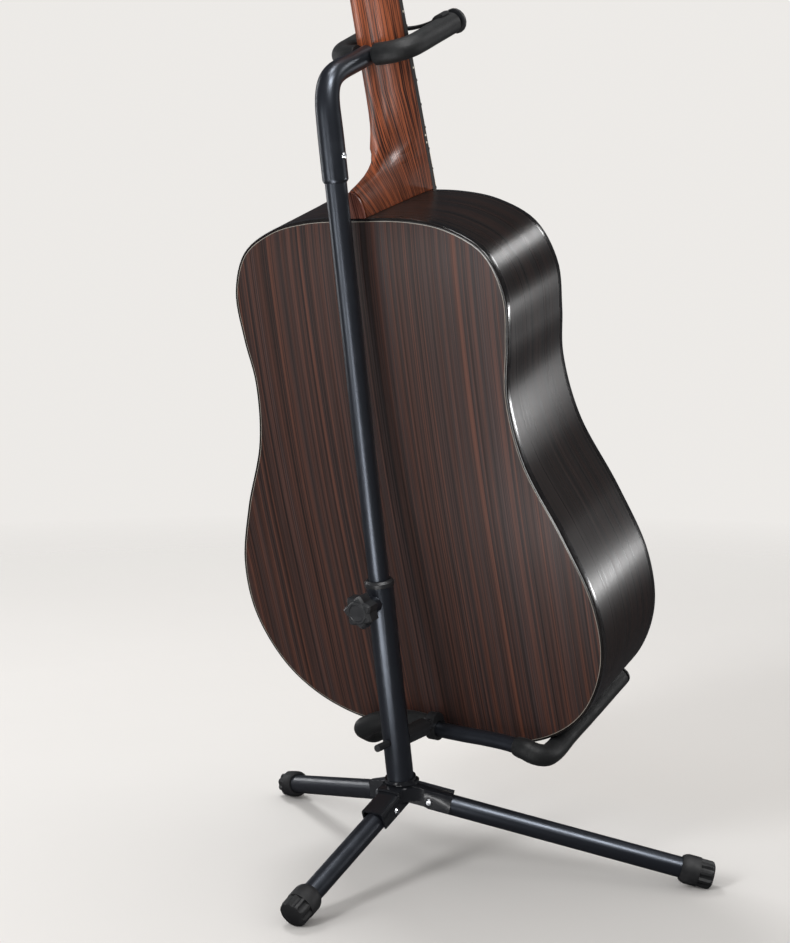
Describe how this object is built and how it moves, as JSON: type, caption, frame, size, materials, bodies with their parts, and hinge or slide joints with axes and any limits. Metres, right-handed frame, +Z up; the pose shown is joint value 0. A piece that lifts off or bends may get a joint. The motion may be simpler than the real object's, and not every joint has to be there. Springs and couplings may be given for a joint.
{
  "type": "guitar on stand",
  "caption": "Acoustic guitar with a round-shouldered flat-top body resting on a folding tripod stand with a foam-covered cradle and neck yoke.",
  "frame": {"origin": "middle of the bounding box at floor level, under the stand", "axes": "+Z up, -Y the way the guitar's face looks, +X to the right of someone who looks at the face"},
  "size_m": [0.5088, 0.4256, 1.1308],
  "materials": {
    "powder_coat": "satin black powder coat",
    "gloss_black_steel": "gloss black enamel",
    "stand_plastic": "matte black moulded",
    "zinc": "bright zinc plate",
    "foot_rubber": "matte black",
    "foam": "closed-cell foam, matte black",
    "soundboard_spruce": "satin lacquered spruce",
    "back_wood": "satin lacquered dark brown laminate",
    "side_wood": "satin lacquered dark brown laminate",
    "inner_wood": "bare",
    "neck_wood": "striped, satin lacquered",
    "fingerboard_wood": "oiled, near black",
    "binding": "black with a thin light line",
    "pickguard": "dark gloss",
    "ivory_plastic": "ivory",
    "chrome": "polished"
  },
  "bodies": {
    "stand": {"lower_post": "powder_coat", "post_collar": "stand_plastic", "hub_bracket": "gloss_black_steel", "rivet_front_left": "zinc", "rivet_front_right": "zinc", "rivet_rear": "zinc", "cradle_tube": "powder_coat", "cradle_foam_left": "foam", "cradle_foam_right": "foam", "cradle_cap_left": "stand_plastic", "cradle_cap_right": "stand_plastic", "cradle_stem": "stand_plastic", "cradle_bolt": "stand_plastic"},
    "clamp": {"clamp_screw": "zinc", "clamp_knob": "stand_plastic"},
    "leg_assembly_front_left": {"leg_front_left": "powder_coat", "foot_front_left": "foot_rubber"},
    "leg_assembly_front_right": {"leg_front_right": "powder_coat", "foot_front_right": "foot_rubber"},
    "leg_assembly_rear": {"leg_rear": "powder_coat", "foot_rear": "foot_rubber"},
    "mast": {"mast_tube": "powder_coat", "mast_guide": "stand_plastic", "neck_elbow": "powder_coat", "elbow_screw": "zinc", "yoke_rod": "powder_coat", "yoke_foam_left": "foam", "yoke_foam_right": "foam", "yoke_cap_left": "stand_plastic", "yoke_cap_right": "stand_plastic"},
    "strap": {"neck_strap": "foot_rubber"},
    "guitar": {"soundboard": "soundboard_spruce", "back_plate": "back_wood", "top_binding": "binding", "back_binding": "binding", "sides": "side_wood", "neck_block": "inner_wood", "tail_block": "inner_wood", "top_braces": "inner_wood", "back_braces": "inner_wood", "neck": "neck_wood", "fingerboard": "fingerboard_wood", "nut": "ivory_plastic", "heel_cap": "neck_wood", "bridge": "fingerboard_wood", "saddle": "ivory_plastic", "pickguard": "pickguard", "end_pin": "ivory_plastic", "tuner_plate_bass": "chrome", "tuner_plate_treble": "chrome"},
    "tuner_bass_1": {"tuner_button_bass_1": "chrome"},
    "tuner_bass_2": {"tuner_button_bass_2": "chrome"},
    "tuner_bass_3": {"tuner_button_bass_3": "chrome"},
    "tuner_treble_1": {"tuner_button_treble_1": "chrome"},
    "tuner_treble_2": {"tuner_button_treble_2": "chrome"},
    "tuner_treble_3": {"tuner_button_treble_3": "chrome"}
  },
  "joints": [
    {"name": "mast_slide", "type": "slide", "parent": "stand", "child": "mast", "axis": [0, 0.1736, 0.9848], "range_m": [-0.022, 0]},
    {"name": "clamp_turn", "type": "hinge", "parent": "stand", "child": "clamp", "pos_m": [0, 0.05809, 0.25895], "axis": [0, 0.9848, -0.1736], "continuous": true},
    {"name": "leg_fold_front_left", "type": "hinge", "parent": "stand", "child": "leg_assembly_front_left", "pos_m": [-0.02295, -0.01665, 0.07365], "axis": [0.4848, -0.8746, 0], "range_deg": [0, 70]},
    {"name": "leg_fold_front_right", "type": "hinge", "parent": "stand", "child": "leg_assembly_front_right", "pos_m": [0.02295, -0.01665, 0.07365], "axis": [0.4848, 0.8746, 0], "range_deg": [0, 70]},
    {"name": "leg_fold_rear", "type": "hinge", "parent": "stand", "child": "leg_assembly_rear", "pos_m": [0, 0.02088, 0.06935], "axis": [-1, 0, 0], "range_deg": [0, 62]},
    {"name": "strap_swing", "type": "hinge", "parent": "mast", "child": "strap", "pos_m": [0.0375, -0.01619, 0.77088], "axis": [0, 0.9135, -0.4067], "range_deg": [0, 100]},
    {"name": "guitar_lift", "type": "slide", "parent": "stand", "child": "guitar", "axis": [-0.0217, 0.325, 0.9455], "range_m": [0, 0.04]},
    {"name": "tuner_turn_bass_1", "type": "hinge", "parent": "guitar", "child": "tuner_bass_1", "pos_m": [-0.02581, 0.14027, 1.00218], "axis": [-0.9992, -0.0394, -0.0094], "continuous": true},
    {"name": "tuner_turn_bass_2", "type": "hinge", "parent": "guitar", "child": "tuner_bass_2", "pos_m": [-0.02899, 0.16194, 1.0357], "axis": [-0.9992, -0.0394, -0.0094], "continuous": true},
    {"name": "tuner_turn_bass_3", "type": "hinge", "parent": "guitar", "child": "tuner_bass_3", "pos_m": [-0.03216, 0.18362, 1.06923], "axis": [-0.9992, -0.0394, -0.0094], "continuous": true},
    {"name": "tuner_turn_treble_1", "type": "hinge", "parent": "guitar", "child": "tuner_treble_1", "pos_m": [0.01615, 0.14192, 1.00257], "axis": [0.9992, 0.0394, 0.0094], "continuous": true},
    {"name": "tuner_turn_treble_2", "type": "hinge", "parent": "guitar", "child": "tuner_treble_2", "pos_m": [0.01698, 0.16375, 1.03614], "axis": [0.9992, 0.0394, 0.0094], "continuous": true},
    {"name": "tuner_turn_treble_3", "type": "hinge", "parent": "guitar", "child": "tuner_treble_3", "pos_m": [0.0178, 0.18559, 1.0697], "axis": [0.9992, 0.0394, 0.0094], "continuous": true}
  ]
}
